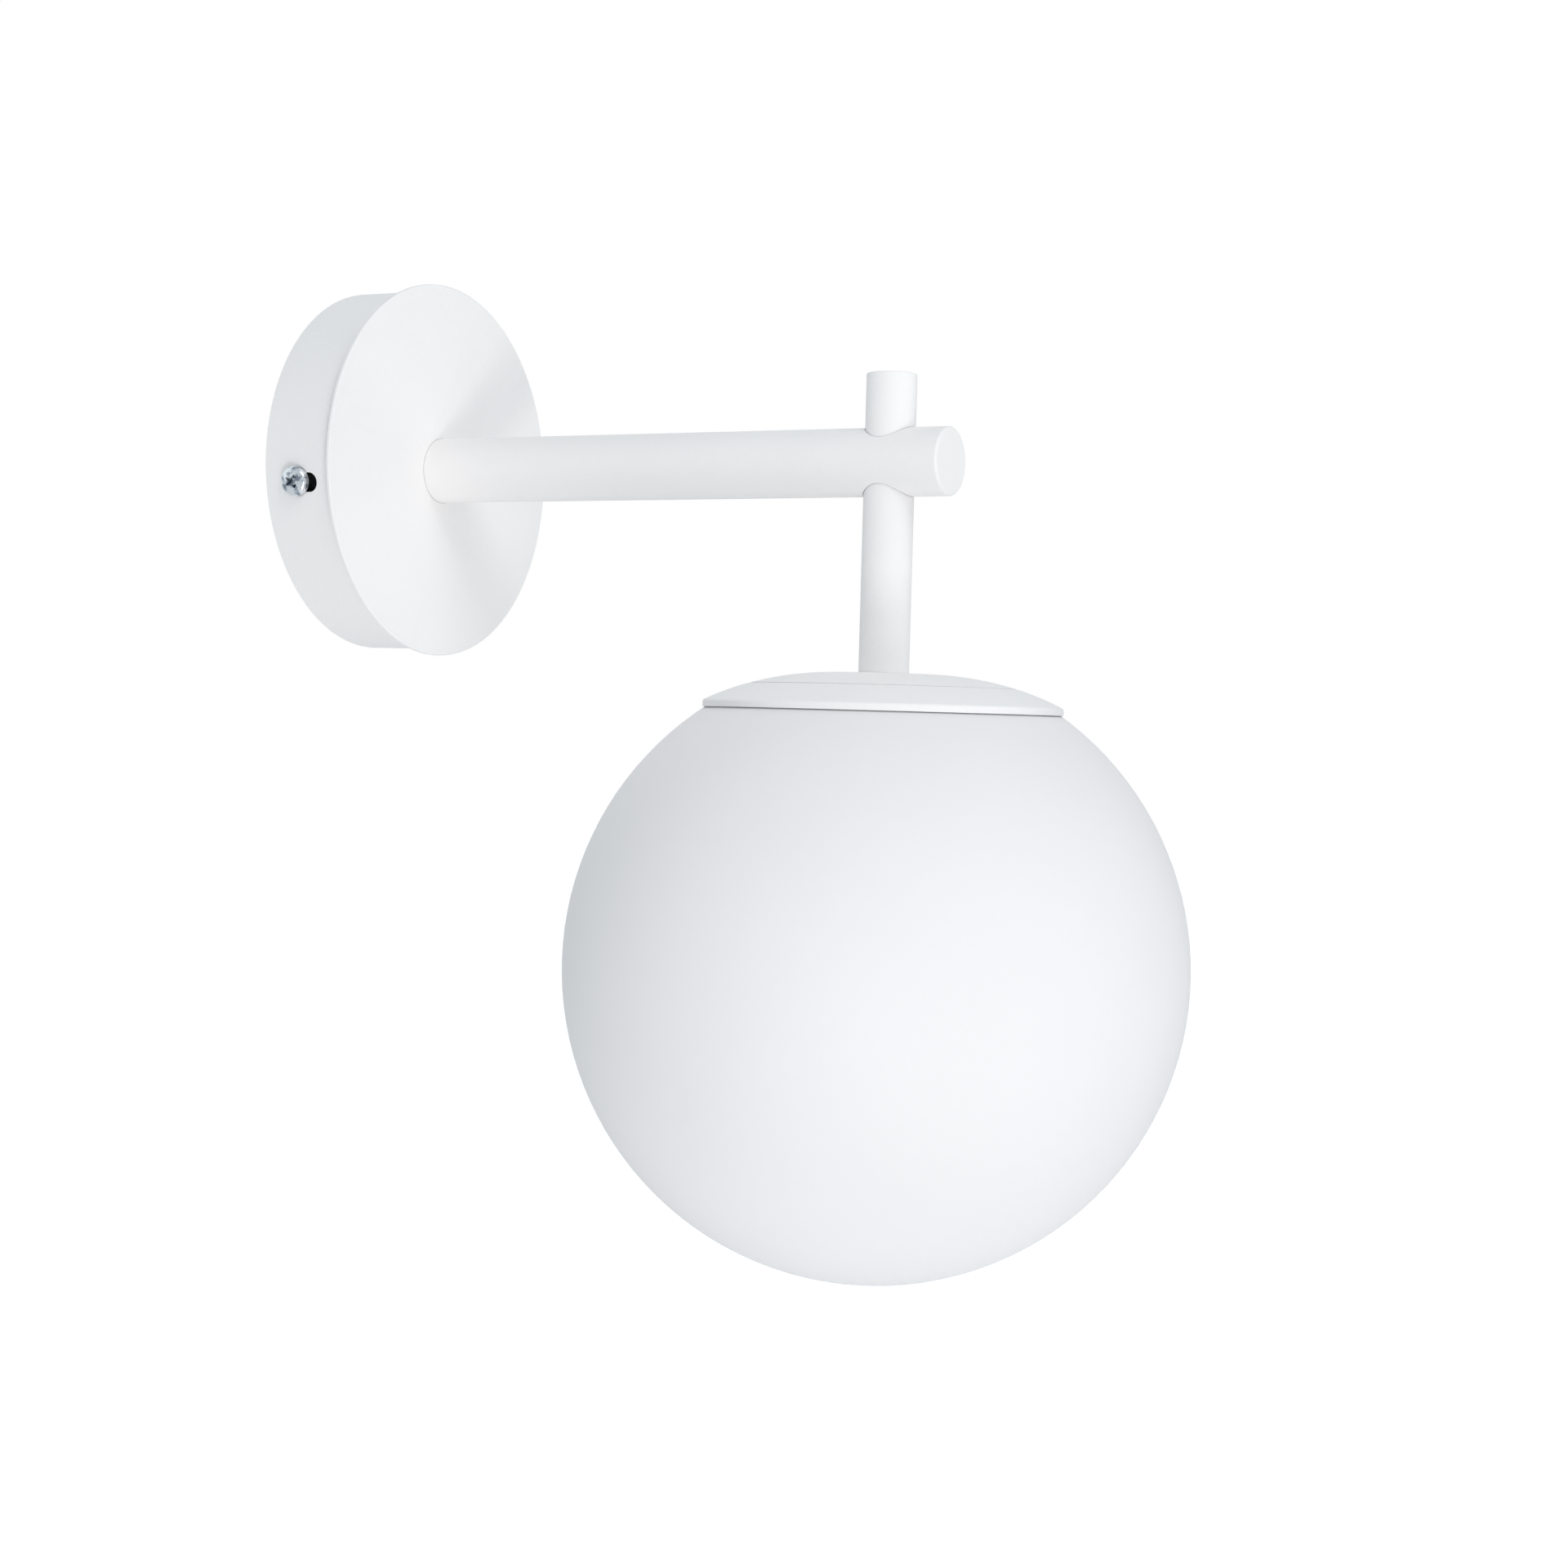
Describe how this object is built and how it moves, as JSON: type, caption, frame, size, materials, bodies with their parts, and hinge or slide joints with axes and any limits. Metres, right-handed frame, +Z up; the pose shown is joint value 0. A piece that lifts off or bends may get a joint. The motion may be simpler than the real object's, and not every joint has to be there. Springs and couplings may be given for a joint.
{
  "type": "globe wall sconce",
  "caption": "Wall light: a round canopy and straight arm carry a tube that crosses the arm and hangs an opal glass ball under a shallow spun cap.",
  "frame": {"origin": "the point of the wall on the arm's axis, which is the middle of the bracket's back face", "axes": "+Z up, +Y into the wall, the arm runs along -Y into the room, +X to the right as seen from the room"},
  "size_m": [0.2, 0.3015, 0.3256],
  "materials": {
    "white_powder_coat": "fine-textured matt powder coat",
    "zinc_plated_steel": "bright zinc plate",
    "black_coated_steel": "satin black dip coat",
    "bright_screw_steel": "bright nickel plate",
    "spring_steel": "bare rolled spring strip",
    "brass": "turned",
    "nickelled_brass": "nickel plate",
    "natural_nylon": "moulded, slightly see-through",
    "black_rubber": "moulded",
    "holder_plastic": "moulded thermoplastic",
    "holder_ceramic": "glazed steatite",
    "opal_glass": "satin-etched opal",
    "lamp_opal": "frosted polycarbonate",
    "lamp_white": "moulded",
    "lamp_board_aluminium": "white solder mask on aluminium",
    "lamp_cap_metal": "nickel-plated rolled sheet",
    "lamp_black_glass": "vitreous insulator",
    "brown_insulation": "extruded",
    "blue_insulation": "extruded",
    "green_yellow_insulation": "extruded"
  },
  "bodies": {
    "fixture": {"wall_bracket": "black_coated_steel", "cable_bush": "black_rubber", "earth_screw": "brass", "earth_washer": "zinc_plated_steel", "terminal_block": "natural_nylon", "terminal_tunnels": "brass", "terminal_screws": "zinc_plated_steel", "terminal_fixing_screw": "zinc_plated_steel", "canopy_drum": "white_powder_coat", "canopy_disc": "white_powder_coat", "arm_tube": "white_powder_coat", "arm_bush": "zinc_plated_steel", "arm_end_cap": "white_powder_coat", "arm_rod": "zinc_plated_steel", "arm_lock_washer": "spring_steel", "arm_nut": "zinc_plated_steel", "earth_ring_terminal": "zinc_plated_steel", "drop_tube": "white_powder_coat", "drop_tube_cap": "white_powder_coat", "drop_bush": "zinc_plated_steel", "drop_rod": "zinc_plated_steel", "shade_cap": "white_powder_coat", "cap_lock_washer": "spring_steel", "cap_nut": "zinc_plated_steel", "spring_spider": "zinc_plated_steel", "spring_rivets": "zinc_plated_steel", "globe_spring_front": "spring_steel", "globe_spring_left": "spring_steel", "globe_spring_right": "spring_steel", "holder_lock_nut": "zinc_plated_steel", "holder_cap": "holder_plastic", "holder_skirt": "holder_plastic", "holder_core": "holder_ceramic", "screw_shell": "nickelled_brass", "centre_contact": "nickelled_brass", "lead_clamps": "brass", "live_lead": "brown_insulation", "neutral_lead": "blue_insulation", "earth_lead": "green_yellow_insulation"},
    "globe": {"glass_globe": "opal_glass"},
    "lamp": {"lamp_diffuser": "lamp_opal", "lamp_board": "lamp_board_aluminium", "lamp_housing": "lamp_white", "lamp_screw_cap": "lamp_cap_metal", "lamp_insulator": "lamp_black_glass", "lamp_tip_contact": "nickelled_brass"},
    "left_screw": {"side_screw_left": "bright_screw_steel"},
    "right_screw": {"side_screw_right": "bright_screw_steel"}
  },
  "joints": [
    {"name": "globe_pull", "type": "slide", "parent": "fixture", "child": "globe", "axis": [0, 0, -1], "range_m": [0, 0.15], "deforming": ["globe_spring_front", "globe_spring_left", "globe_spring_right"]},
    {"name": "lamp_turn", "type": "hinge", "parent": "fixture", "child": "lamp", "pos_m": [0, -0.2015, -0.14], "axis": [0, 0, -1], "range_deg": [0, 1620]},
    {"name": "left_screw_turn", "type": "hinge", "parent": "fixture", "child": "left_screw", "pos_m": [-0.06103, -0.0128, -0.00836], "axis": [-0.9907, 0, -0.1357], "range_deg": [0, 3060]},
    {"name": "right_screw_turn", "type": "hinge", "parent": "fixture", "child": "right_screw", "pos_m": [0.06103, -0.0128, 0.00836], "axis": [0.9907, 0, 0.1357], "range_deg": [0, 3060]}
  ]
}
